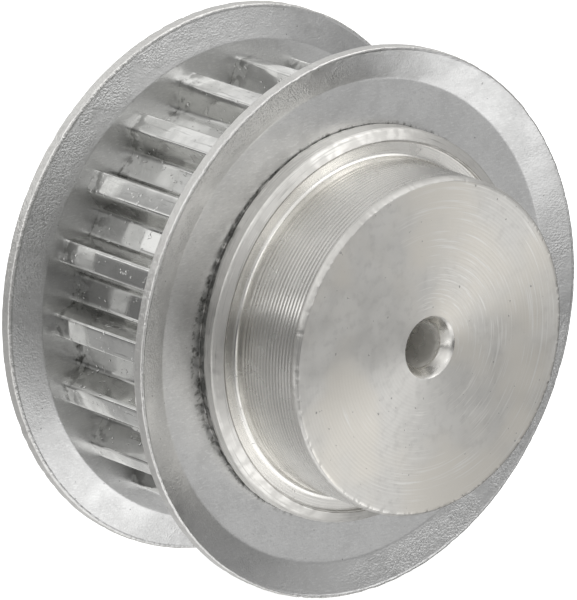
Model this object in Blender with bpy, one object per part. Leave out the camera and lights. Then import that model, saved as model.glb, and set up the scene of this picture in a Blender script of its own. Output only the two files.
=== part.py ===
"""Timing belt pulley: 19 teeth of 5 mm pitch, two pressed flanges and a hub with a pilot bore.

The bore runs along Y and the hub points to -Y. The origin is on the bore's axis, in the middle of
the belt track.
"""

import math

import bmesh
import bpy

MM = 0.001

# Teeth, in mm: standard 5 mm pitch trapezoidal profile, short-series gap
TEETH = 19
TIP_RADIUS = 14.70
GAP_DEPTH = 1.75
GAP_FLOOR_WIDTH = 1.78
FLANK_ANGLE = math.radians(25)
ROOT_FILLET = 0.40
TIP_ROUND = 0.25

# Belt track and flanges
TRACK_HALF_WIDTH = 5.61
SHEET = 0.80
FLANGE_RADIUS = 18.0
RIM_BEND_RADIUS = 15.77
RIM_LEAN = 0.78
FLANGE_BORE = 12.50
EDGE_ROUND = 0.15
SEAT_GAP = 0.30

# Spigots, whose rolled edges hold the flanges
SPIGOT_RADIUS = FLANGE_BORE - SEAT_GAP
LIP_RADIUS = 12.86
LIP_TOP_RADIUS = 12.60
LIP_INNER_RADIUS = 12.00
LIP_HEIGHT = 0.25
SHOULDER_FACE = 7.80
REAR_FACE = 7.25
REAR_LIP_DROP = 0.30

# Hub and bore
HUB_RADIUS = 11.0
HUB_FACE = 13.75
HUB_FILLET = 0.30
HUB_CHAMFER_WIDTH = 0.28
HUB_CHAMFER_LENGTH = 0.50
BORE_RADIUS = 1.50
COUNTERSINK_RADIUS = 2.00
COUNTERSINK_HALF_ANGLE = math.radians(30)
DRILL_OVERRUN = 1.0

# Facets round a full circle and in a rounded corner
ROUND_STEPS = 72
BORE_STEPS = 32
ARC_STEPS = 3
SHARP_ANGLE = math.radians(35)
WELD = 0.001 * MM


def clear_scene():
    for obj in list(bpy.data.objects):
        bpy.data.objects.remove(obj, do_unlink=True)


def material(name, colour, roughness):
    made = bpy.data.materials.new(name)
    made.use_nodes = True
    shader = made.node_tree.nodes["Principled BSDF"]
    shader.inputs["Base Color"].default_value = (*colour, 1.0)
    shader.inputs["Roughness"].default_value = roughness
    shader.inputs["Metallic"].default_value = 1.0
    return made


def arc(centre, radius, start, end, steps=ARC_STEPS):
    """Points on an arc from one angle to another, both ends included."""
    turn = (end - start) / steps
    angles = [start + turn * i for i in range(steps + 1)]
    return [(centre[0] + radius * math.cos(a), centre[1] + radius * math.sin(a)) for a in angles]


def fillet(before, corner, after, radius, steps=ARC_STEPS):
    """The rounded corner that joins two straight edges."""
    back = (before[0] - corner[0], before[1] - corner[1])
    ahead = (after[0] - corner[0], after[1] - corner[1])
    angle_back = math.atan2(back[1], back[0])
    angle_ahead = math.atan2(ahead[1], ahead[0])
    half = math.remainder(angle_ahead - angle_back, 2 * math.pi) / 2
    reach = radius / math.sin(abs(half))
    middle = angle_back + half
    centre = (corner[0] + reach * math.cos(middle), corner[1] + reach * math.sin(middle))
    sweep = math.copysign(math.pi / 2 - abs(half), half)
    facing = middle + math.pi
    return arc(centre, radius, facing + sweep, facing - sweep, steps)


def new_object(name, data, look=None):
    """An object made from a bmesh, smooth but for its sharp edges."""
    mesh = bpy.data.meshes.new(name)
    bmesh.ops.recalc_face_normals(data, faces=data.faces)
    data.to_mesh(mesh)
    data.free()
    mesh.shade_smooth()
    mesh.set_sharp_from_angle(angle=SHARP_ANGLE)
    made = bpy.data.objects.new(name, mesh)
    bpy.context.scene.collection.objects.link(made)
    if look:
        mesh.materials.append(look)
    return made


def cutter(made):
    """Marks an object that only shapes another one."""
    made.hide_render = True
    made.display_type = "WIRE"
    return made


def boolean(target, name, operation, tool):
    modifier = target.modifiers.new(name, "BOOLEAN")
    modifier.operation = operation
    modifier.solver = "EXACT"
    modifier.object = tool


def turned(name, outline, look=None, steps=ROUND_STEPS):
    """A closed outline of (radius, y) points in mm, turned about the Y axis."""
    data = bmesh.new()
    verts = [data.verts.new((radius * MM, y * MM, 0.0)) for radius, y in outline]
    edges = [data.edges.new((a, b)) for a, b in zip(verts, verts[1:] + verts[:1])]
    bmesh.ops.spin(
        data,
        geom=verts + edges,
        cent=(0, 0, 0),
        axis=(0, 1, 0),
        angle=2 * math.pi,
        steps=steps,
        use_merge=True,
    )
    bmesh.ops.remove_doubles(data, verts=data.verts, dist=WELD)
    return new_object(name, data, look)


def tooth_gap():
    """The gap between two teeth that faces +X, and half the next land, as (x, z) points upwards."""
    floor_x = TIP_RADIUS - GAP_DEPTH
    floor_z = GAP_FLOOR_WIDTH / 2
    mouth_z = floor_z + GAP_DEPTH * math.tan(FLANK_ANGLE)
    mouth_angle = math.asin(mouth_z / TIP_RADIUS)
    mouth = (TIP_RADIUS * math.cos(mouth_angle), mouth_z)
    floor = (floor_x, floor_z)
    middle = (floor_x, 0.0)
    land_angle = math.pi / TEETH
    land = (TIP_RADIUS * math.cos(land_angle), TIP_RADIUS * math.sin(land_angle))
    upper = fillet(middle, floor, mouth, ROOT_FILLET) + fillet(floor, mouth, land, TIP_ROUND)
    lower = [(x, -z) for x, z in reversed(upper)]
    return [*lower, *upper, land]


def toothed_blank():
    """The full toothed rim, from one flange seat to the other."""
    gap = tooth_gap()
    pitch_angle = 2 * math.pi / TEETH
    half_width = (TRACK_HALF_WIDTH - SEAT_GAP) * MM
    data = bmesh.new()
    outline = []
    for tooth in range(TEETH):
        cos_a = math.cos(tooth * pitch_angle)
        sin_a = math.sin(tooth * pitch_angle)
        for x, z in gap:
            place = ((x * cos_a - z * sin_a) * MM, -half_width, (x * sin_a + z * cos_a) * MM)
            outline.append(data.verts.new(place))
    face = data.faces.new(outline)
    grown = bmesh.ops.extrude_face_region(data, geom=[face])
    moved = [item for item in grown["geom"] if isinstance(item, bmesh.types.BMVert)]
    bmesh.ops.translate(data, verts=moved, vec=(0, 2 * half_width, 0))
    return cutter(new_object("toothed_blank", data))


def drill():
    """The pilot bore and its two countersinks, as the shape that they leave."""
    slope = math.tan(COUNTERSINK_HALF_ANGLE)
    depth = (COUNTERSINK_RADIUS - BORE_RADIUS) / slope
    mouth_radius = COUNTERSINK_RADIUS + DRILL_OVERRUN * slope
    front = -HUB_FACE - DRILL_OVERRUN
    rear = REAR_FACE + DRILL_OVERRUN
    outline = [
        (0, front),
        (mouth_radius, front),
        (BORE_RADIUS, depth - HUB_FACE),
        (BORE_RADIUS, REAR_FACE - depth),
        (mouth_radius, rear),
        (0, rear),
    ]
    return cutter(turned("drill", outline, steps=BORE_STEPS))


def front_lip(seat):
    """The rolled edge on the hub side, from the spigot to the shoulder face."""
    top = -(SHOULDER_FACE + LIP_HEIGHT)
    corner = (LIP_RADIUS, top)
    rounded = fillet((LIP_RADIUS, seat), corner, (LIP_INNER_RADIUS, top), LIP_RADIUS - LIP_TOP_RADIUS)
    return [(SPIGOT_RADIUS, seat), (LIP_RADIUS, seat), *rounded, (LIP_INNER_RADIUS, top)]


def hub_outline():
    """Front half of the turned core's outline, from the spigot to the hub's end face."""
    seat = -(TRACK_HALF_WIDTH + SHEET + SEAT_GAP)
    shoulder = -SHOULDER_FACE
    base = (HUB_RADIUS, shoulder)
    face = -HUB_FACE
    chamfer = (HUB_RADIUS, face + HUB_CHAMFER_LENGTH)
    base_fillet = fillet((LIP_INNER_RADIUS, shoulder), base, chamfer, HUB_FILLET)
    return [
        *front_lip(seat),
        (LIP_INNER_RADIUS, shoulder),
        *base_fillet,
        chamfer,
        (HUB_RADIUS - HUB_CHAMFER_WIDTH, face),
    ]


def core_outline():
    """Outline of the turned core, with the hub and both spigots, before the bore is drilled."""
    rear_seat = TRACK_HALF_WIDTH + SHEET + SEAT_GAP
    return [
        *hub_outline(),
        (0, -HUB_FACE),
        (0, REAR_FACE),
        (LIP_INNER_RADIUS, REAR_FACE),
        (LIP_RADIUS, REAR_FACE - REAR_LIP_DROP),
        (LIP_RADIUS, rear_seat),
        (SPIGOT_RADIUS, rear_seat),
    ]


def make_toothed_body():
    """Hub, spigots and teeth as one solid: the turned core and the toothed blank, then the bore."""
    look = material("machined_aluminium", (0.72, 0.71, 0.69), 0.30)
    body = turned("toothed_body", core_outline(), look)
    boolean(body, "teeth", "UNION", toothed_blank())
    boolean(body, "bore", "DIFFERENCE", drill())


def flange_outline():
    """Section of a flange, its belt side towards 0, as (radius, distance from the track's middle)."""
    inner = TRACK_HALF_WIDTH
    outer = inner + SHEET
    rim = FLANGE_RADIUS
    bend = RIM_BEND_RADIUS
    rim_inner = (rim, inner + RIM_LEAN)
    rim_outer = (rim, outer + RIM_LEAN)
    return [
        (FLANGE_BORE, inner),
        (bend, inner),
        *fillet((bend, inner), rim_inner, rim_outer, EDGE_ROUND),
        *fillet(rim_inner, rim_outer, (bend, outer), EDGE_ROUND),
        (bend, outer),
        (FLANGE_BORE, outer),
    ]


def make_flange(name, side):
    """A flange on the given side of the track: -1 is the hub side, 1 the far side."""
    look = material(name + "_sheet", (0.60, 0.60, 0.60), 0.48)
    outline = [(radius, side * y) for radius, y in flange_outline()]
    turned(name, outline, look)


clear_scene()
make_toothed_body()
make_flange("front_flange", -1)
make_flange("rear_flange", 1)
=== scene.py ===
import math

import bpy
import numpy as np
from mathutils import Matrix, Vector


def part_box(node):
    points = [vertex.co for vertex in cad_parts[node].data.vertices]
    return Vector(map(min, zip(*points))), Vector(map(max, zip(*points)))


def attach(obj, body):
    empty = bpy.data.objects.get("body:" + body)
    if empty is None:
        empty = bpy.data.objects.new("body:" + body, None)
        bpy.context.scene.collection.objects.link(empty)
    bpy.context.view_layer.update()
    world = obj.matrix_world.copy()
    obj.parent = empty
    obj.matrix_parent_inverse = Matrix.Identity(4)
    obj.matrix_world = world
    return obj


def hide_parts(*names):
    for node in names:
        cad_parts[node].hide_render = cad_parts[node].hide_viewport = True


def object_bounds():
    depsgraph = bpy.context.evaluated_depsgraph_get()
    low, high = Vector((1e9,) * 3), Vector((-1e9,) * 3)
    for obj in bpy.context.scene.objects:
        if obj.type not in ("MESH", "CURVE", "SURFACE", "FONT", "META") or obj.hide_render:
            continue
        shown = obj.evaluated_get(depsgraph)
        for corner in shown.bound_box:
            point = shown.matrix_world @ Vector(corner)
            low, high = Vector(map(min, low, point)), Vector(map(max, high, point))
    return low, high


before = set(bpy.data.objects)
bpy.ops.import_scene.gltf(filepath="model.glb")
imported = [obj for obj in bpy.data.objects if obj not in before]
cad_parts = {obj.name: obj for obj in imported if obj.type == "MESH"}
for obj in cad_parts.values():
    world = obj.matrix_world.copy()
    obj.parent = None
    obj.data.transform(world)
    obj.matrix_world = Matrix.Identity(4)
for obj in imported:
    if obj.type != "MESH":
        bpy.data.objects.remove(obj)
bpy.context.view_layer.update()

# Looks of a timing belt pulley. The bore runs along Y, the hub points to -Y, and the origin is on the
# bore's axis in the middle of the belt track. Lengths are in mm until a mesh is made. Angles round the
# bore go from +X towards +Z.

MM = 0.001
TURN = 2 * math.pi


def box_mm(node):
    """Low and high corners of a CAD node's box."""
    low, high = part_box(node)
    return [v / MM for v in low], [v / MM for v in high]


body_low, body_high = box_mm("toothed_body")
front_low, front_high = box_mm("front_flange")
rear_low, _ = box_mm("rear_flange")

# Sizes read from the frame
HUB_FACE = body_low[1]
REAR_FACE = body_high[1]
FLANGE_RADIUS = front_high[0]
TRACK_FRONT = front_high[1]
TRACK_REAR = rear_low[1]
RIM_FACE = front_low[1]

# Teeth
TEETH = 19
TIP_RADIUS = -body_low[0]
GAP_DEPTH = 1.75
GAP_FLOOR_WIDTH = 1.78
FLANK_ANGLE = math.radians(25)
ROOT_FILLET = 0.40
TIP_ROUND = 0.22
LAND_STEPS = 3
TOOTH_STATIONS = 14

# Flanges
SHEET = 0.80
RIM_BEND_RADIUS = 15.77
OUTER_BEND_ROUND = 0.60
BELT_BEND_ROUND = 0.50
FLANGE_BORE = 12.50
EDGE_ROUND = 0.14
SEAT_GAP = 0.005
FLANGE_STEPS = 480
SHEET_WAVE = 0.02
SHEARED_WAVE = 0.018
# Rings on each side of a flange's edge that share its dents
DENTED_BESIDE_EDGE = 2

# Spigots and their rolled lips
SPIGOT_RADIUS = 12.20
LIP_RADIUS = 12.86
LIP_INNER_RADIUS = 12.00
LIP_HEIGHT = 0.25
LIP_ROUND = 0.05
LIP_FLAT = 0.16
LIP_SLOPE_DROP = 0.34
LIP_SLOPE_INSET = 0.06
LIP_EDGE_INSET = 0.02
LIP_SIDE_DROP = 0.10
LIP_WAVE = 0.012
LIP_FOOT = 0.11
LIP_CRUSH = 0.46
LIP_CRUSH_POWER = 8
LIP_CRUSH_ANGLE = math.radians(185)
LIP_CRUSH_MARGIN = 0.04
LIP_UNDERCUT = 0.05
SHOULDER_FACE = -7.80

# The tool's step in the front lip's top, as radii from the inner wall and depths
LIP_STEP = [(0.035, 0.0), (0.05, 0.08), (0.11, 0.08), (0.13, 0.0)]

# Rings down the crushed foot of the front lip: how far in from the lip's side, and how far on from
# where the foot starts, then the shares of the crush, of the bruises, of the raggedness outwards and
# of the raggedness along the bore
FOOT_RINGS = [
    (0.01, 0.000, 1.0, 1.0, 0.0, 1.0),
    (0.05, 0.025, 0.8, 1.0, 0.0, 0.0),
    (0.09, 0.050, 0.4, 1.0, 1.0, 0.0),
    (0.10, 0.090, 0.0, 0.0, -1.0, 0.0),
    (0.07, 0.080, 0.0, 0.0, 1.0, 0.0),
]

# Rear lip, and the groove inside it as radii from the lip's inner wall and depths
REAR_LIP_DROP = 0.30
REAR_LIP_ROUND = 0.12
REAR_LIP_WAVE = 0.015
REAR_GROOVE = [(0.13, 0.02), (0.10, 0.07), (0.02, 0.07)]
REAR_FACE_RADIUS = LIP_INNER_RADIUS - 0.02
REAR_MARKS_RADIUS = LIP_INNER_RADIUS - 0.06

# Hub
HUB_RADIUS = 11.0
HUB_FILLET = 0.30
TURNED_STEPS = 225
GROOVED_FROM = HUB_FACE + 0.46
GROOVED_TO = SHOULDER_FACE - 0.75
GROOVES = 16
GROOVE_PITCH = (GROOVED_TO - GROOVED_FROM) / GROOVES
GROOVE_DEPTH = 0.031
GROOVE_POINTS = 4

# Chamfer, which is widest at one side of the hub. Its unevenness and spread are larger along the hub.
CHAMFER_WIDTH = 0.16
CHAMFER_MIDDLE = HUB_FACE + 0.11
CHAMFER_END = HUB_FACE + 0.19
CHAMFER_STEPS = 3 * TURNED_STEPS
CHAMFER_SPREAD = 0.14
CHAMFER_SPREAD_LEAST = -0.03
CHAMFER_SPREAD_ANGLE = math.radians(120)
CHAMFER_SPREAD_ALONG = 1.6
CHAMFER_UNEVEN_ALONG = 1.5
CHAMFER_BREAK = 0.02
# Where the end face's tool marks stop, inside the chamfer's widest place
HUB_MARKS_RADIUS = HUB_RADIUS - 0.32

# Bore
BORE_RADIUS = 1.50
SINK_RADIUS = 2.00
SINK_HALF_ANGLE = math.radians(30)
EDGE_BREAK = 0.05

# Tool marks: pitch, depth and points in each
BORE_MARKS = (1.2, 0.006, 2)
HUB_FACE_MARKS = (0.24, 0.0035, 3)
SHOULDER_MARKS = (0.17, 0.006, 3)
REAR_FACE_MARKS = (0.42, 0.004, 3)

# Longest steps between points of an outline
FLAT_STEP = 0.20
SINK_STEP = 0.15
SLOPE_STEP = 0.08
EDGE_STEP = 0.10
CONE_STEP = 0.16
FLANGE_BORE_STEP = 0.30
GAP_FLOOR_STEP = 0.25
FLANK_STEP = 0.35


# ---------------------------------------------------------------- unevenness

def ripple(angles, seed, fewest, most, size):
    """Smooth unevenness round the turn, from -size to size, of waves from few to many per turn."""
    random = np.random.default_rng(seed)
    total = np.zeros(len(angles))
    for waves in range(fewest, most + 1):
        total += random.normal() * np.cos(waves * angles + random.uniform(0, TURN))
    return size * total / np.abs(total).max()


def nicks(angles, seed, count, width, depth):
    """Small dents at random places round the turn, as depths from 0 up."""
    random = np.random.default_rng(seed)
    total = np.zeros(len(angles))
    for _ in range(count):
        place = random.uniform(0, TURN)
        reach = width * random.uniform(0.5, 1.5)
        apart = np.remainder(angles - place + math.pi, TURN) - math.pi
        dent = depth * random.uniform(0.3, 1.0) * np.exp(-((apart / reach) ** 2))
        total = np.maximum(total, dent)
    return total


# ---------------------------------------------------------------- outlines

def arc(centre, radius, start, end, steps):
    """Points on an arc from one angle to another, both ends included."""
    turn = (end - start) / steps
    angles = [start + turn * i for i in range(steps + 1)]
    return [(centre[0] + radius * math.cos(a), centre[1] + radius * math.sin(a)) for a in angles]


def fillet(before, corner, after, radius, steps=6):
    """The rounded corner that joins two straight edges."""
    back = (before[0] - corner[0], before[1] - corner[1])
    ahead = (after[0] - corner[0], after[1] - corner[1])
    angle_back = math.atan2(back[1], back[0])
    angle_ahead = math.atan2(ahead[1], ahead[0])
    half = math.remainder(angle_ahead - angle_back, TURN) / 2
    reach = radius / math.sin(abs(half))
    middle = angle_back + half
    centre = (corner[0] + reach * math.cos(middle), corner[1] + reach * math.sin(middle))
    sweep = math.copysign(math.pi / 2 - abs(half), half)
    facing = middle + math.pi
    return arc(centre, radius, facing + sweep, facing - sweep, steps)


def straight(start, end, step):
    """Points from start to end, at most a step apart, without the last one."""
    length = math.hypot(end[0] - start[0], end[1] - start[1])
    count = max(1, math.ceil(length / step))
    return [
        (start[0] + (end[0] - start[0]) * i / count, start[1] + (end[1] - start[1]) * i / count)
        for i in range(count)
    ]


def tool_marks(start, end, inward, pitch, depth, steps):
    """Points along a turned surface whose tool left a scallop at each turn, without the last one."""
    length = math.hypot(end[0] - start[0], end[1] - start[1])
    marks = max(1, round(length / pitch))
    points = []
    for i in range(marks * steps):
        along = i / (marks * steps)
        across = (i % steps) / steps
        cut = depth * (1 - (2 * across - 1) ** 2)
        radius = start[0] + (end[0] - start[0]) * along + inward[0] * cut
        y = start[1] + (end[1] - start[1]) * along + inward[1] * cut
        points.append((radius, y))
    return points


def half_pitch():
    """Angles and radii from the middle of a tooth gap to the middle of the next land."""
    floor = (TIP_RADIUS - GAP_DEPTH, GAP_FLOOR_WIDTH / 2)
    middle = (floor[0], 0.0)
    mouth_z = floor[1] + GAP_DEPTH * math.tan(FLANK_ANGLE)
    mouth_angle = math.asin(mouth_z / TIP_RADIUS)
    mouth = (TIP_RADIUS * math.cos(mouth_angle), mouth_z)
    land_angle = math.pi / TEETH
    land = (TIP_RADIUS * math.cos(land_angle), TIP_RADIUS * math.sin(land_angle))
    root = fillet(middle, floor, mouth, ROOT_FILLET)
    tip = fillet(floor, mouth, land, TIP_ROUND, steps=5)
    gap = straight(middle, root[0], GAP_FLOOR_STEP) + root[:-1]
    gap += straight(root[-1], tip[0], FLANK_STEP) + tip
    polar = [(math.atan2(z, x), math.hypot(x, z)) for x, z in gap]
    tip_angle = polar[-1][0]
    for i in range(1, LAND_STEPS + 1):
        polar.append((tip_angle + (land_angle - tip_angle) * i / LAND_STEPS, TIP_RADIUS))
    return polar


def tooth_outline():
    """Angles and radii of the toothed rim's outline, over the whole turn."""
    upper = half_pitch()
    lower = [(-angle, radius) for angle, radius in reversed(upper[1:-1])]
    angles, radii = [], []
    for tooth in range(TEETH):
        for angle, radius in lower + upper:
            angles.append(angle + tooth * TURN / TEETH)
            radii.append(radius)
    return np.array(angles), np.array(radii)


# ---------------------------------------------------------------- meshes

class Skin:
    """A skin of rings about the Y axis. Each band between two rings has a look of its own."""

    def __init__(self):
        self.rings = []
        self.looks = []

    def ring(self, angles, radius, y, look):
        self.rings.append((angles, np.zeros(len(angles)) + radius, np.zeros(len(angles)) + y))
        self.looks.append(look)

    def path(self, angles, points, look, out=0.0, along=0.0):
        """One ring for each (radius, y) point, moved outwards and along Y by the same offsets."""
        for radius, y in points:
            self.ring(angles, radius + out, y + along, look)

    def mesh(self, name):
        """Closes the skin, from its last ring back to its first."""
        starts = np.cumsum([0] + [len(angles) for angles, _, _ in self.rings])
        points = np.concatenate(
            [np.stack([r * np.cos(a), y, r * np.sin(a)], 1) for a, r, y in self.rings]
        )
        names = list(dict.fromkeys(self.looks))
        faces, slots = [], []
        count = len(self.rings)
        for i in range(count):
            here, ahead = self.rings[i][0], self.rings[(i + 1) % count][0]
            if here is ahead:
                band = even_band(len(here), starts[i], starts[(i + 1) % count])
            else:
                band = zipped_band(here, ahead, starts[i], starts[(i + 1) % count])
            faces += band
            slots += [names.index(self.looks[i])] * len(band)
        mesh = bpy.data.meshes.new(name)
        mesh.from_pydata((points * MM).tolist(), [], faces)
        mesh.polygons.foreach_set("material_index", slots)
        if signed_volume(mesh) < 0:
            mesh.flip_normals()
        return mesh, names


def around(steps):
    """Even angles over the whole turn."""
    return np.arange(steps) * TURN / steps


def even_band(count, here, ahead):
    """Quads between two rings with the same angles."""
    ring = np.arange(count)
    after = (ring + 1) % count
    return np.stack([here + ring, here + after, ahead + after, ahead + ring], 1).tolist()


def zipped_band(angles, other, here, ahead):
    """Triangles between two rings that have different angles, both sorted."""
    faces = []
    i = j = 0
    while i < len(angles) or j < len(other):
        next_i = angles[i + 1] if i + 1 < len(angles) else angles[0] + TURN
        next_j = other[j + 1] if j + 1 < len(other) else other[0] + TURN
        a, b = here + i % len(angles), ahead + j % len(other)
        if j >= len(other) or (i < len(angles) and next_i <= next_j):
            faces.append([a, here + (i + 1) % len(angles), b])
            i += 1
        else:
            faces.append([a, ahead + (j + 1) % len(other), b])
            j += 1
    return faces


def signed_volume(mesh):
    """Six times the volume of a closed mesh, below 0 if its faces point inwards."""
    mesh.calc_loop_triangles()
    points = np.empty(len(mesh.vertices) * 3)
    mesh.vertices.foreach_get("co", points)
    points = points.reshape(-1, 3)
    corners = np.empty(len(mesh.loop_triangles) * 3, dtype=int)
    mesh.loop_triangles.foreach_get("vertices", corners)
    a, b, c = (points[corners.reshape(-1, 3)[:, i]] for i in range(3))
    return float(np.einsum("ij,ij->i", a, np.cross(b, c)).sum())


def new_object(name, data):
    made = bpy.data.objects.new(name, data)
    bpy.context.scene.collection.objects.link(made)
    return made


def add_piece(name, skin, looks, sharp_degrees, node):
    """Makes the piece of a skin, and puts it in a CAD node's place."""
    mesh, names = skin.mesh(name)
    mesh.shade_smooth()
    mesh.set_sharp_from_angle(angle=math.radians(sharp_degrees))
    for look in names:
        mesh.materials.append(looks[look])
    mesh.use_auto_texspace = False
    mesh.texspace_location = (0.0, 0.0, 0.0)
    mesh.texspace_size = (FLANGE_RADIUS * MM,) * 3
    piece = new_object(name, mesh)
    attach(piece, "root")
    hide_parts(node)


# ---------------------------------------------------------------- body

def add_bore(skin, angles):
    """The bore, from its rear countersink to its front one, which is a little uneven."""
    sink = (SINK_RADIUS - BORE_RADIUS) / math.tan(SINK_HALF_ANGLE)
    front = (BORE_RADIUS, HUB_FACE + sink)
    rear = (BORE_RADIUS, REAR_FACE - sink)
    uneven = ripple(angles, seed=11, fewest=2, most=9, size=0.012)
    skin.path(angles, straight((SINK_RADIUS, REAR_FACE), rear, FLAT_STEP), "countersink")
    skin.path(angles, tool_marks(rear, front, (1, 0), *BORE_MARKS), "bore")
    skin.path(angles, straight(front, (SINK_RADIUS, HUB_FACE), SINK_STEP), "countersink", uneven)


def add_chamfer(skin):
    """The hub's outer edge: dented, uneven, and broken more on one side than on the other."""
    angles = around(CHAMFER_STEPS)
    dents = nicks(angles, seed=21, count=130, width=0.008, depth=0.035)
    uneven = ripple(angles, seed=22, fewest=5, most=170, size=0.014)
    side = np.maximum(0.0, np.cos(angles - CHAMFER_SPREAD_ANGLE))
    spread = CHAMFER_SPREAD * side**2 + CHAMFER_SPREAD_LEAST
    inner = HUB_RADIUS - CHAMFER_WIDTH - spread
    middle = (inner + HUB_RADIUS) / 2
    end = CHAMFER_END + CHAMFER_UNEVEN_ALONG * uneven + CHAMFER_SPREAD_ALONG * spread
    rings = [
        (inner - EDGE_BREAK, HUB_FACE),
        (inner + uneven - dents, HUB_FACE + CHAMFER_BREAK + dents),
        (middle + uneven - dents / 2, CHAMFER_MIDDLE + spread),
        (HUB_RADIUS - CHAMFER_BREAK - dents / 2, end),
    ]
    for radius, y in rings:
        skin.ring(angles, radius, y, "chamfer")


def add_hub(skin, angles):
    """The hub's end face, its chamfer, its grooved side and the ring round its base."""
    face_start = (SINK_RADIUS + EDGE_BREAK, HUB_FACE)
    face_end = (HUB_MARKS_RADIUS, HUB_FACE)
    side_start = (HUB_RADIUS, GROOVED_FROM)
    side_end = (HUB_RADIUS, GROOVED_TO)
    ring_end = (LIP_INNER_RADIUS, SHOULDER_FACE)
    base = fillet(side_start, (HUB_RADIUS, SHOULDER_FACE), ring_end, HUB_FILLET)
    grooves = tool_marks(side_start, side_end, (-1, 0), GROOVE_PITCH, GROOVE_DEPTH, GROOVE_POINTS)
    skin.path(angles, tool_marks(face_start, face_end, (0, 1), *HUB_FACE_MARKS), "hub_face")
    add_chamfer(skin)
    skin.path(angles, grooves, "hub_side")
    skin.path(angles, straight(side_end, base[0], FLAT_STEP), "hub_side")
    skin.path(angles, base[:-1], "shoulder")
    skin.path(angles, tool_marks(base[-1], ring_end, (0, 1), *SHOULDER_MARKS), "shoulder")


def add_front_lip(skin, angles):
    """The edge that is rolled over the front flange: inner wall, tooled top, slope and side."""
    top = SHOULDER_FACE - LIP_HEIGHT
    foot = TRACK_FRONT - SHEET - SEAT_GAP - LIP_FOOT
    uneven = ripple(angles, seed=31, fewest=5, most=60, size=LIP_WAVE)
    wall_foot = (LIP_INNER_RADIUS, SHOULDER_FACE)
    inner_edge = fillet(wall_foot, (LIP_INNER_RADIUS, top), (LIP_RADIUS, top), LIP_ROUND, steps=3)
    tool_step = [(LIP_INNER_RADIUS + out, top + depth) for out, depth in LIP_STEP]
    slope_start = (LIP_INNER_RADIUS + LIP_FLAT, top)
    slope_end = (LIP_RADIUS - LIP_SLOPE_INSET, top + LIP_SLOPE_DROP)
    side_top = (LIP_RADIUS, slope_end[1] + LIP_SIDE_DROP)
    side_end = (LIP_RADIUS, foot - LIP_CRUSH - LIP_CRUSH_MARGIN)
    outer_edge = fillet(slope_start, slope_end, side_top, LIP_ROUND, steps=3)
    skin.path(angles, [wall_foot, *inner_edge, *tool_step], "lip")
    skin.path(angles, straight(slope_start, slope_end, SLOPE_STEP), "lip", along=uneven + LIP_WAVE)
    skin.path(angles, outer_edge, "lip", uneven - LIP_EDGE_INSET, LIP_EDGE_INSET)
    skin.path(angles, straight(side_top, side_end, EDGE_STEP), "lip", uneven - LIP_WAVE)


def add_front_foot(skin, angles):
    """The foot of the front lip, crushed on to the flange. It is ragged, and highest at one side."""
    seat = TRACK_FRONT - SHEET - SEAT_GAP
    ragged = ripple(angles, seed=32, fewest=20, most=110, size=0.035)
    bruises = nicks(angles, seed=33, count=60, width=0.010, depth=0.05)
    nearness = 0.5 + 0.5 * np.cos(angles - LIP_CRUSH_ANGLE)
    crush = LIP_CRUSH * nearness**LIP_CRUSH_POWER
    for inset, on, crushed, bruised, rag_out, rag_along in FOOT_RINGS:
        radius = LIP_RADIUS - inset + rag_out * ragged - bruised * bruises
        y = seat - LIP_FOOT - crushed * crush + on + rag_along * ragged
        skin.ring(angles, radius, y, "lip_foot")
    skin.ring(angles, LIP_RADIUS - LIP_UNDERCUT - bruises, seat, "lip")
    skin.ring(angles, SPIGOT_RADIUS, seat, "lip")


def add_teeth(skin, angles):
    """The spigot's step up to the teeth, the teeth and the step down behind them."""
    front = TRACK_FRONT + SEAT_GAP
    rear = TRACK_REAR - SEAT_GAP
    tooth_angles, tooth_radii = tooth_outline()
    skin.ring(angles, SPIGOT_RADIUS, front, "teeth")
    for share in np.linspace(0, 1, TOOTH_STATIONS):
        skin.ring(tooth_angles, tooth_radii, front + (rear - front) * share, "teeth")
    skin.ring(angles, SPIGOT_RADIUS, rear, "lip")


def add_rear_end(skin, angles):
    """The rear spigot's rolled edge, a groove inside it and the flat end face."""
    seat = TRACK_REAR + SHEET + SEAT_GAP
    corner = (LIP_RADIUS, REAR_FACE - REAR_LIP_DROP)
    face_edge = (LIP_INNER_RADIUS, REAR_FACE)
    edge = fillet((LIP_RADIUS, seat), corner, face_edge, REAR_LIP_ROUND, steps=4)
    uneven = ripple(angles, seed=41, fewest=5, most=60, size=REAR_LIP_WAVE)
    groove = [(LIP_INNER_RADIUS + out, REAR_FACE - depth) for out, depth in REAR_GROOVE]
    marks_start = (REAR_MARKS_RADIUS, REAR_FACE)
    marks = tool_marks(marks_start, (SINK_RADIUS, REAR_FACE), (0, -1), *REAR_FACE_MARKS)
    skin.path(angles, [(SPIGOT_RADIUS, seat), (LIP_RADIUS - LIP_UNDERCUT, seat)], "lip")
    skin.path(angles, edge, "lip", uneven - REAR_LIP_WAVE)
    skin.path(angles, groove, "lip")
    skin.path(angles, [(REAR_FACE_RADIUS, REAR_FACE), *marks], "rear_face")


def body_skin():
    """The whole toothed body as one closed skin, from the rear countersink round to the rear face."""
    angles = around(TURNED_STEPS)
    skin = Skin()
    add_bore(skin, angles)
    add_hub(skin, angles)
    add_front_lip(skin, angles)
    add_front_foot(skin, angles)
    add_teeth(skin, angles)
    add_rear_end(skin, angles)
    return skin


# ---------------------------------------------------------------- flanges

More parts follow.
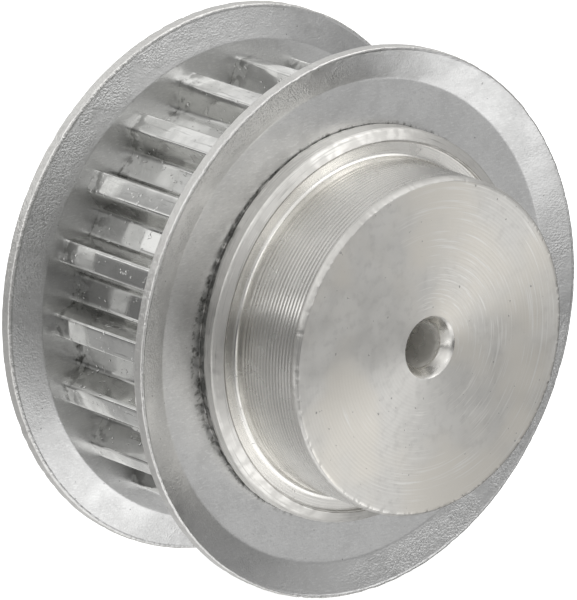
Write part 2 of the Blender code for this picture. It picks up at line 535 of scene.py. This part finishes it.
def flange_outline():
    """Section of the rear flange, as (radius, y) points, and where its edge starts and ends."""
    inner = TRACK_REAR
    outer = inner + SHEET
    rim_rise = -RIM_FACE - outer
    bend_in = (RIM_BEND_RADIUS, inner)
    bend_out = (RIM_BEND_RADIUS, outer)
    rim_in = (FLANGE_RADIUS, inner + rim_rise)
    rim_out = (FLANGE_RADIUS, outer + rim_rise)
    bore_in = (FLANGE_BORE, inner)
    bore_out = (FLANGE_BORE, outer)
    belt_bend = fillet(bore_in, bend_in, rim_in, BELT_BEND_ROUND)
    outer_bend = fillet(rim_out, bend_out, bore_out, OUTER_BEND_ROUND)
    edge_in = fillet(bend_in, rim_in, rim_out, EDGE_ROUND)
    edge_out = fillet(rim_in, rim_out, bend_out, EDGE_ROUND)
    path = straight(bore_in, belt_bend[0], FLAT_STEP) + belt_bend[:-1]
    path += straight(belt_bend[-1], edge_in[0], CONE_STEP) + edge_in[:-1]
    edge_start = len(path)
    path += straight(edge_in[-1], edge_out[0], EDGE_STEP) + edge_out[:-1]
    edge_end = len(path)
    path += straight(edge_out[-1], outer_bend[0], CONE_STEP) + outer_bend[:-1]
    path += straight(outer_bend[-1], bore_out, FLAT_STEP)
    path += straight(bore_out, bore_in, FLANGE_BORE_STEP)
    return path, edge_start, edge_end


def flange_skin(side, seed, look):
    """A pressed flange, -1 for the front and 1 for the rear. Its rim leans away from the track."""
    angles = around(FLANGE_STEPS)
    wave = ripple(angles, seed, fewest=2, most=7, size=SHEET_WAVE) - SHEET_WAVE
    sheared = ripple(angles, seed + 1, fewest=8, most=110, size=SHEARED_WAVE) - SHEARED_WAVE
    dents = nicks(angles, seed + 2, count=70, width=0.009, depth=0.05)
    path, edge_start, edge_end = flange_outline()
    dented = range(edge_start - DENTED_BESIDE_EDGE, edge_end + DENTED_BESIDE_EDGE)
    skin = Skin()
    for i, (radius, y) in enumerate(path):
        share = max(0.0, (radius - RIM_BEND_RADIUS) / (FLANGE_RADIUS - RIM_BEND_RADIUS))
        out = share * sheared - (dents if i in dented else 0.0)
        skin.ring(angles, radius + out, side * (y + share**2 * wave), look)
    return skin


# ---------------------------------------------------------------- materials

BRIGHT = (0.78, 0.767, 0.735)
TOOTH_WHITE = (0.78, 0.78, 0.76)
WARM = (0.80, 0.77, 0.71)
SHEET_GREY = (0.63, 0.63, 0.625)
# Dark grey for painted shade: the crushed lip foot, the sheet round the lip, the teeth by the rear
# flange
PAINTED_SHADE_GREY = (0.22, 0.22, 0.21)
# The rear sheet's grey is made lighter than the front sheet's: painted light
REAR_SHEET_PAINTED_LIGHT = 1.10

# How far the painted shade on the flanges reaches from the lip, how much further where the lip is
# crushed, and how far the painted shade on the teeth reaches from the rear flange
LIP_SHADE_REACH = 0.30
CRUSHED_REACH = 0.45
REAR_SHADE_REACH = 2.2


def round_bore(degrees):
    """Direction at an angle round the bore."""
    return (math.cos(math.radians(degrees)), 0.0, math.sin(math.radians(degrees)))


# Where a flange's grain is coarse, there and opposite
WORN_SIDES = round_bore(138)
# Where the front lip is crushed and the painted shade on the flanges reaches furthest
CRUSHED_SIDE = (-1.0, 0.0, 0.0)
# Where the tool rings of the end faces carry a painted highlight
RING_HIGHLIGHT_SIDE = round_bore(5)


class Nodes:
    """Builds a node tree. Any input may be a plain value or another node's output."""

    def __init__(self, tree):
        self.tree = tree

    def feed(self, socket, value):
        if isinstance(value, bpy.types.NodeSocket):
            self.tree.links.new(value, socket)
        else:
            socket.default_value = value

    def node(self, kind, inputs, **settings):
        made = self.tree.nodes.new("ShaderNode" + kind)
        for key, value in settings.items():
            setattr(made, key, value)
        for key, value in inputs.items():
            self.feed(made.inputs[key], value)
        return made

    def maths(self, operation, first, second=0.0):
        return self.node("Math", {0: first, 1: second}, operation=operation).outputs[0]

    def add(self, first, second):
        return self.maths("ADD", first, second)

    def times(self, first, second):
        return self.maths("MULTIPLY", first, second)

    def dot(self, first, second):
        inputs = {0: first, 1: second}
        return self.node("VectorMath", inputs, operation="DOT_PRODUCT").outputs["Value"]

    def between(self, value, low, high, to_low=0.0, to_high=1.0):
        """A soft step from to_low, where the value is low, to to_high, where it is high."""
        inputs = {0: value, 1: low, 2: high, 3: to_low, 4: to_high}
        return self.node("MapRange", inputs, interpolation_type="SMOOTHSTEP").outputs[0]


class Look(Nodes):
    """A metal's material. Places and heights are in mm, and a noise's scale is per mm."""

    def __init__(self, name, colour, roughness, anisotropic=0.0, metallic=1.0):
        self.material = bpy.data.materials.new(name)
        self.material.use_nodes = True
        super().__init__(self.material.node_tree)
        self.shader = self.tree.nodes["Principled BSDF"]
        self.shader.inputs["Base Color"].default_value = (*colour, 1.0)
        self.shader.inputs["Metallic"].default_value = metallic
        self.shader.inputs["Roughness"].default_value = roughness
        self.colour = colour
        self.heights = []
        if anisotropic:
            self.shader.inputs["Anisotropic"].default_value = anisotropic
            self.shader.inputs["Anisotropic Rotation"].default_value = 0.25
            tangent = self.node("Tangent", {}, direction_type="RADIAL", axis="Y")
            self.feed(self.shader.inputs["Tangent"], tangent.outputs[0])
        coords = self.node("TexCoord", {}).outputs["Object"]
        self.place = self.vector("SCALE", coords, Scale=1 / MM)
        self.y = self.node("SeparateXYZ", {0: self.place}).outputs["Y"]
        flat = self.stretched(1.0, 0.0, 1.0)
        self.radius = self.node("VectorMath", {0: flat}, operation="LENGTH").outputs["Value"]
        self.facing = self.vector("NORMALIZE", flat)

    def vector(self, operation, first, second=None, **others):
        inputs = {0: first, **others}
        if second is not None:
            inputs[1] = second
        return self.node("VectorMath", inputs, operation=operation).outputs["Vector"]

    def stretched(self, x, y, z):
        """The place with its parts multiplied, so that a noise is drawn out where they are small."""
        return self.vector("MULTIPLY", self.place, (x, y, z))

    def noise(self, where, scale, detail=2.0):
        return self.node("TexNoise", {"Vector": where, "Scale": scale, "Detail": detail}).outputs[0]

    def patches(self, scale, detail, low, high):
        """Soft patches: 1 where a noise is above high, 0 where it is below low."""
        return self.between(self.noise(self.place, scale, detail), low, high)

    def pits(self, scale, low, high, depth):
        """Small pits or dents, sunk into the relief. Gives 1 where they are."""
        where = self.patches(scale, 1.0, low, high)
        self.raise_by(where, -depth)
        return where

    def round_streaks(self, across, per_turn, distance):
        """Noise drawn out round the axis. It changes as fast as distance says in each mm of across,
        and about per_turn times round the turn."""
        turned = self.vector("SCALE", self.facing, Scale=per_turn)
        lift = self.node("CombineXYZ", {"Y": self.times(across, distance)}).outputs[0]
        return self.noise(self.vector("ADD", turned, lift), 1.0, 3.0)

    def raise_by(self, height, size):
        """Adds a height between 0 and 1 to the relief, as this many mm."""
        self.heights.append(self.times(height, size))

    def tint(self, amount, colour):
        """Mixes a colour in where the amount is high."""
        base = self.shader.inputs["Base Color"]
        before = base.links[0].from_socket if base.links else (*self.colour, 1.0)
        mix = self.node("Mix", {0: amount, 6: before, 7: (*colour, 1.0)}, data_type="RGBA")
        self.feed(base, mix.outputs[2])

    def roughen(self, amount, low, high):
        """Roughness from low, where the amount is 0, to high, where it is 1."""
        self.feed(self.shader.inputs["Roughness"], self.between(amount, 0.0, 1.0, low, high))

    def finish(self):
        total = self.heights[0]
        for height in self.heights[1:]:
            total = self.add(total, height)
        bump = self.node("Bump", {"Strength": 1.0, "Distance": MM, "Height": total})
        self.feed(self.shader.inputs["Normal"], bump.outputs[0])
        return self.material


def shade(colour, by):
    """A colour made darker or lighter."""
    return tuple(channel * by for channel in colour)


def turned_face(name, roughness, pitch):
    """A faced end: fine rings, wide smudges, and small pits."""
    look = Look(name, BRIGHT, roughness, anisotropic=0.85)
    smudge = look.patches(scale=0.45, detail=5.0, low=0.35, high=0.7)
    look.tint(smudge, shade(BRIGHT, 0.93))
    look.tint(look.patches(scale=1.6, detail=4.0, low=0.45, high=0.75), shade(BRIGHT, 0.86))
    look.roughen(smudge, roughness - 0.02, roughness + 0.04)
    rings = look.round_streaks(look.radius, per_turn=2.4, distance=1 / pitch)
    side = look.times(look.dot(look.facing, RING_HIGHLIGHT_SIDE), 0.16)
    sided_patches = look.between(look.add(look.noise(look.place, scale=0.22), side), 0.42, 0.60)
    look.tint(look.patches(scale=0.16, detail=2.0, low=0.42, high=0.62), WARM)
    # Painted highlight: the tool rings are tinted brighter in patches that lean to one side of the
    # face
    look.tint(look.times(look.between(rings, 0.54, 0.66), sided_patches), shade(BRIGHT, 1.12))
    look.raise_by(look.times(rings, look.add(sided_patches, 0.3)), 0.0027)
    fine_rings = look.round_streaks(look.radius, per_turn=5.0, distance=2.6 / pitch)
    look.raise_by(fine_rings, 0.0010)
    look.raise_by(look.noise(look.place, scale=3.0, detail=4.0), 0.0022)
    look.tint(look.pits(scale=3.3, low=0.76, high=0.80, depth=0.010), shade(BRIGHT, 0.62))
    return look.finish()


def turned_look(name, roughness, fineness, relief, painted_lightness):
    """Streaks of the tool round a turned surface, before its material is finished."""
    # The factor on the base colour paints light above 1 and shade below 1
    look = Look(name, shade(BRIGHT, painted_lightness), roughness, anisotropic=0.9)
    smudge = look.patches(scale=0.5, detail=4.0, low=0.4, high=0.7)
    look.tint(smudge, shade(BRIGHT, 0.94 * painted_lightness))
    look.roughen(smudge, roughness - 0.02, roughness + 0.05)
    lines = look.round_streaks(look.add(look.radius, look.y), per_turn=3.0, distance=fineness)
    look.raise_by(lines, relief)
    look.tint(look.between(lines, 0.40, 0.30), shade(BRIGHT, 0.80 * painted_lightness))
    look.raise_by(look.noise(look.place, scale=5.5), 0.55 * relief)
    look.pits(scale=3.1, low=0.72, high=0.78, depth=0.010)
    return look


def turned_side(name, roughness, fineness, relief, painted_lightness):
    """A turned cylinder, chamfer or shoulder."""
    return turned_look(name, roughness, fineness, relief, painted_lightness).finish()


def grooved_side(name):
    """The hub's side: a turned cylinder with a painted highlight on the crests of its grooves and
    painted shade in their floors.
    """
    look = turned_look(name, roughness=0.24, fineness=12.0, relief=0.0030, painted_lightness=1.0)
    turns = look.maths("DIVIDE", look.maths("SUBTRACT", look.y, GROOVED_FROM), GROOVE_PITCH)
    from_floor = look.maths("ABSOLUTE", look.maths("SUBTRACT", look.maths("FRACT", turns), 0.5))
    grooved = look.between(look.y, GROOVED_TO + 0.05, GROOVED_TO - 0.05)
    uneven = look.round_streaks(look.y, per_turn=2.0, distance=1.5)
    shown = look.times(grooved, look.between(uneven, 0.38, 0.62, to_low=0.35))
    # Painted highlight on the groove crests and painted shade in the groove floors
    look.tint(look.times(look.between(from_floor, 0.34, 0.50), shown), shade(BRIGHT, 1.22))
    look.tint(look.times(look.between(from_floor, 0.26, 0.05), shown), shade(BRIGHT, 0.78))
    return look.finish()


def rolled_lip(name):
    """Burnished aluminium with marks of the roller round it."""
    look = Look(name, shade(BRIGHT, 0.96), 0.36, anisotropic=0.7)
    lines = look.round_streaks(look.add(look.radius, look.y), per_turn=3.0, distance=8.0)
    look.raise_by(lines, 0.0100)
    look.tint(look.between(lines, 0.42, 0.32), shade(BRIGHT, 0.72))
    look.tint(look.between(lines, 0.60, 0.70), shade(BRIGHT, 1.15))
    look.raise_by(look.noise(look.place, scale=3.4), 0.0030)
    rough = look.noise(look.place, scale=1.3, detail=4.0)
    look.roughen(look.between(rough, 0.35, 0.65), 0.32, 0.46)
    look.tint(look.between(rough, 0.45, 0.7), shade(BRIGHT, 0.88))
    return look.finish()


def crushed_foot(name):
    """The foot of the lip, where the roller crushed it: coarse and speckled, and dark with painted
    shade.
    """
    # The dark base colour is painted shade, for the crevice under the lip's overhang
    look = Look(name, PAINTED_SHADE_GREY, 0.5)
    look.raise_by(look.noise(look.place, scale=4.0, detail=4.0), 0.0500)
    patches = look.patches(scale=2.1, detail=4.0, low=0.44, high=0.60)
    look.tint(patches, shade(BRIGHT, 0.60))
    look.roughen(patches, 0.55, 0.32)
    return look.finish()


def cut_teeth(name):
    """Bright teeth: smooth flats with faint lines along the bore, a few small dents, painted shade
    down in the gaps and painted shade beside the rear flange.
    """
    look = Look(name, TOOTH_WHITE, 0.12)
    look.raise_by(look.noise(look.stretched(7.0, 0.25, 7.0), scale=1.0, detail=3.0), 0.0016)
    look.raise_by(look.noise(look.place, scale=0.55, detail=1.0), 0.0110)
    cloud = look.noise(look.place, scale=0.9, detail=4.0)
    look.roughen(look.between(cloud, 0.35, 0.65), 0.06, 0.14)
    # Darker down in the gaps between the teeth: painted shade
    gap_shade = look.between(look.radius, TIP_RADIUS - 0.1, TIP_RADIUS - 1.0)
    look.tint(gap_shade, shade(TOOTH_WHITE, 0.78))
    streaks = look.noise(look.stretched(5.0, 0.35, 5.0), scale=1.0, detail=4.0)
    look.tint(look.between(streaks, 0.58, 0.72), shade(TOOTH_WHITE, 0.70))
    look.tint(look.between(cloud, 0.4, 0.7), shade(TOOTH_WHITE, 0.84))
    # Painted shade on the teeth beside the rear flange
    behind = look.between(look.y, TRACK_REAR - REAR_SHADE_REACH, TRACK_REAR - 0.1)
    rear_corner_shade = look.times(look.patches(scale=1.3, detail=5.0, low=0.47, high=0.60), 0.75)
    look.tint(look.times(behind, rear_corner_shade), PAINTED_SHADE_GREY)
    look.pits(scale=2.7, low=0.68, high=0.74, depth=0.024)
    return look.finish()


def drilled(name, roughness, painted_lightness, metallic):
    """The wall that a drill leaves: rings along it and a dull, uneven lustre."""
    # The factor on the base colour paints light above 1 and shade below 1
    look = Look(name, shade(BRIGHT, painted_lightness), roughness, metallic=metallic)
    look.raise_by(look.round_streaks(look.y, per_turn=1.0, distance=5.0), 0.0100)
    look.raise_by(look.noise(look.place, scale=2.5), 0.0060)
    cloud = look.noise(look.place, scale=1.1, detail=3.0)
    look.roughen(look.between(cloud, 0.35, 0.65), roughness - 0.06, roughness + 0.08)
    look.tint(look.between(cloud, 0.45, 0.7), shade(BRIGHT, 0.9 * painted_lightness))
    return look.finish()


def add_sheet_grain(look, grey):
    """A fine grain all over, coarse and dark on the worn parts of the rim, and short strokes."""
    along = look.dot(look.facing, WORN_SIDES)
    sides = look.between(look.times(along, along), 0.35, 0.85, to_low=0.25)
    cone = look.between(look.radius, RIM_BEND_RADIUS - 0.2, RIM_BEND_RADIUS + 0.9)
    patchy = look.patches(scale=0.35, detail=3.0, low=0.36, high=0.52)
    sided_patches = look.times(look.times(patchy, cone), sides)
    grain = look.noise(look.place, scale=8.0)
    look.raise_by(grain, 0.0070)
    look.raise_by(look.times(grain, sided_patches), 0.0360)
    look.tint(look.patches(scale=0.9, detail=5.0, low=0.48, high=0.72), shade(grey, 0.90))
    strokes = look.noise(look.stretched(3.0, 8.0, 9.0), scale=1.0)
    look.raise_by(strokes, 0.0045)
    look.tint(look.between(strokes, 0.54, 0.70), shade(grey, 1.08))
    look.tint(look.between(strokes, 0.42, 0.32), shade(grey, 0.90))
    dark_grain = look.times(look.between(grain, 0.48, 0.38), look.times(sided_patches, 0.6))
    look.tint(dark_grain, shade(grey, 0.60))


def pressed_sheet(name, grey):
    """Matt pressed sheet: clouds, grain, specks, a painted highlight along the edge, and painted shade
    round the rolled lip.
    """
    look = Look(name, grey, 0.34)
    clouds = look.noise(look.place, scale=0.28, detail=4.0)
    look.tint(look.between(clouds, 0.38, 0.66), shade(grey, 0.95))
    look.roughen(look.between(clouds, 0.35, 0.65), 0.29, 0.37)
    add_sheet_grain(look, grey)
    look.raise_by(look.noise(look.place, scale=14.0, detail=1.0), 0.0026)
    look.raise_by(look.noise(look.place, scale=1.2), 0.0050)
    rim_edge = look.between(look.radius, FLANGE_RADIUS - 0.30, FLANGE_RADIUS - 0.16)
    look.raise_by(look.times(rim_edge, look.noise(look.place, scale=3.2, detail=3.0)), 0.0600)
    look.tint(look.pits(scale=3.6, low=0.76, high=0.80, depth=0.010), shade(grey, 0.55))
    # Painted shade on the sheet round the rolled lip, reaching further on the crushed side
    wider = look.between(look.dot(look.facing, CRUSHED_SIDE), 0.85, 0.99, to_high=CRUSHED_REACH)
    from_lip = look.maths("SUBTRACT", look.radius, wider)
    near_lip = look.between(from_lip, LIP_RADIUS + LIP_SHADE_REACH, LIP_RADIUS)
    ragged = look.patches(scale=3.5, detail=3.0, low=0.45, high=0.70)
    look.tint(look.times(near_lip, ragged), PAINTED_SHADE_GREY)
    # Painted highlight along the rim's edge
    rim_highlight = look.between(look.radius, FLANGE_RADIUS - 0.22, FLANGE_RADIUS - 0.05)
    look.tint(look.times(rim_highlight, 0.6), BRIGHT)
    return look.finish()


# ---------------------------------------------------------------- pieces

# The chamfer and countersink are painted darker, and the shoulder and bore lighter, than the same
# metal elsewhere: painted shade and painted light
looks = {
    "bore": drilled("drilled_bore", roughness=0.22, painted_lightness=1.10, metallic=0.62),
    "countersink": drilled("countersink", roughness=0.26, painted_lightness=0.88, metallic=1.0),
    "hub_face": turned_face("turned_face", roughness=0.30, pitch=0.12),
    "rear_face": turned_face("rear_turned_face", roughness=0.32, pitch=0.20),
    "chamfer": turned_side("hub_chamfer", roughness=0.40, fineness=5.0, relief=0.016, painted_lightness=0.84),
    "hub_side": grooved_side("turned_hub_side"),
    "shoulder": turned_side("turned_shoulder", roughness=0.24, fineness=9.0, relief=0.006, painted_lightness=1.08),
    "lip": rolled_lip("rolled_lip"),
    "lip_foot": crushed_foot("crushed_lip_foot"),
    "teeth": cut_teeth("cut_teeth"),
    "front_sheet": pressed_sheet("front_pressed_sheet", SHEET_GREY),
    # The rear sheet is a lighter copy of the front sheet: painted light
    "rear_sheet": pressed_sheet("rear_pressed_sheet", shade(SHEET_GREY, REAR_SHEET_PAINTED_LIGHT)),
}

# Faces that meet at more than this many degrees have a sharp edge between them
BODY_SHARP = 35
FLANGE_SHARP = 40

add_piece("toothed_body_finish", body_skin(), looks, BODY_SHARP, "toothed_body")
for name, side, seed in (("front", -1, 51), ("rear", 1, 61)):
    skin = flange_skin(side, seed, name + "_sheet")
    node = name + "_flange"
    add_piece(node + "_finish", skin, looks, FLANGE_SHARP, node)


# ---------------------------------------------------------------- stage

FLOOR_HALF_SIZE = 3.0
FLOOR_COLOUR = (0.8, 0.8, 0.8)
FLOOR_GLOW = 0.8
WHITE = (1.0, 1.0, 1.0)

# Strength of the light all round, then the softboxes and reflectors that add to it and the black cards
# that take from it: name, azimuth from +X, elevation, inner and outer radius in degrees, gain
AMBIENT = 0.27
SOFTBOXES = [
    ("key", -45, 38, 15, 30, 1.2),
    ("left_softbox", 180, 40, 25, 35, 0.75),
    ("overhead", -110, 50, 25, 60, 0.7),
    ("table_front", -140, -50, 5, 35, 0.85),
    ("table_edge", -175, -15, 10, 20, 1.1),
    ("table_right", -72, -42, 10, 28, 1.1),
    ("table_below", 10, -75, 20, 60, 0.35),
    ("table_left", 175, -35, 10, 45, 0.3),
    ("back_wall", 75, 0, 20, 70, 0.35),
    ("right_wall", 10, 20, 15, 45, 0.35),
    ("back_overhead", 85, 60, 10, 45, 0.45),
    ("front_fill", -50, -20, 10, 28, 0.35),
    ("camera_card", -120, 20, 8, 18, -0.7),
    ("front_card", -135, -10, 10, 20, -0.2),
    ("right_card", -10, -32, 12, 32, -0.4),
    ("table_card", -32, -44, 5, 20, -0.25),
    ("side_card", 130, 2, 8, 16, -0.15),
]

# Side softbox: sharp lower edge and soft top as sines of elevation, ends as cosines from its azimuth
SIDE_AZIMUTH = 135
SIDE_BOTTOM = (0.24, 0.27)
SIDE_TOP = (0.36, 0.46)
SIDE_ENDS = (0.35, 0.65)
SIDE_GAIN = 0.9

# Camera, which looks at the origin from a distance in metres. Azimuth is from -Y towards +X.
AZIMUTH = math.radians(-39.62)
ELEVATION = math.radians(17.51)
ROLL = math.radians(-0.67)
DISTANCE = 0.766
LENS = 720.0
SENSOR = 36.0
SHIFT_X, SHIFT_Y = -0.0027, -0.0025
CLIP_START, CLIP_END = 0.05, 10.0


def add_floor():
    """A plain white floor. Metal shows the soft studio light in its place, from below as well."""
    low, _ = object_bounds()
    size = FLOOR_HALF_SIZE
    mesh = bpy.data.meshes.new("floor")
    corners = [(x, y, low[2]) for x, y in ((-size, -size), (size, -size), (size, size), (-size, size))]
    mesh.from_pydata(corners, [], [(0, 1, 2, 3)])
    look = bpy.data.materials.new("floor_white")
    look.use_nodes = True
    shader = look.node_tree.nodes["Principled BSDF"]
    shader.inputs["Base Color"].default_value = (*FLOOR_COLOUR, 1.0)
    shader.inputs["Roughness"].default_value = 1.0
    shader.inputs["Emission Color"].default_value = (*WHITE, 1.0)
    shader.inputs["Emission Strength"].default_value = FLOOR_GLOW
    mesh.materials.append(look)
    floor = new_object("floor", mesh)
    floor.visible_glossy = False
    floor.visible_shadow = False


def sky_direction(azimuth, elevation):
    """Direction at an azimuth from +X and an elevation, both in degrees."""
    across = math.cos(math.radians(elevation))
    azimuth = math.radians(azimuth)
    return (across * math.cos(azimuth), across * math.sin(azimuth), math.sin(math.radians(elevation)))


def cosines(outer, inner):
    """Cosines of two angles in degrees."""
    return math.cos(math.radians(outer)), math.cos(math.radians(inner))


def add_world():
    """Soft light from all round, with wide brighter and darker patches, as in a small photo tent."""
    world = bpy.data.worlds.new("studio")
    world.use_nodes = True
    nodes = Nodes(world.node_tree)
    direction = nodes.node("TexCoord", {}).outputs["Generated"]
    total = AMBIENT
    for name, azimuth, elevation, inner, outer, gain in SOFTBOXES:
        facing = nodes.dot(direction, sky_direction(azimuth, elevation))
        patch = nodes.between(facing, *cosines(outer, inner), 0.0, gain)
        patch.node.label = name
        total = nodes.add(total, patch)
    height = nodes.node("SeparateXYZ", {0: direction}).outputs["Z"]
    above = nodes.between(height, *SIDE_BOTTOM)
    below = nodes.between(height, *SIDE_TOP, 1.0, 0.0)
    facing = nodes.dot(direction, sky_direction(SIDE_AZIMUTH, 0))
    side = nodes.between(facing, *SIDE_ENDS, 0.0, SIDE_GAIN)
    total = nodes.add(total, nodes.times(nodes.times(above, below), side))
    background = world.node_tree.nodes["Background"]
    background.inputs["Color"].default_value = (*WHITE, 1.0)
    nodes.feed(background.inputs["Strength"], nodes.maths("MAXIMUM", total, 0.0))
    bpy.context.scene.world = world


def add_camera():
    data = bpy.data.cameras.new("camera")
    data.sensor_width, data.lens = SENSOR, LENS
    data.shift_x, data.shift_y = SHIFT_X, SHIFT_Y
    data.clip_start, data.clip_end = CLIP_START, CLIP_END
    camera = new_object("camera", data)
    across = math.cos(ELEVATION)
    back = Vector((math.sin(AZIMUTH) * across, -math.cos(AZIMUTH) * across, math.sin(ELEVATION)))
    turn = (-back).to_track_quat("-Z", "Y").to_matrix().to_4x4()
    camera.matrix_world = Matrix.Translation(back * DISTANCE) @ turn @ Matrix.Rotation(ROLL, 4, "Z")
    bpy.context.scene.camera = camera


bpy.context.scene.view_settings.view_transform = "Standard"
add_floor()
add_camera()
add_world()
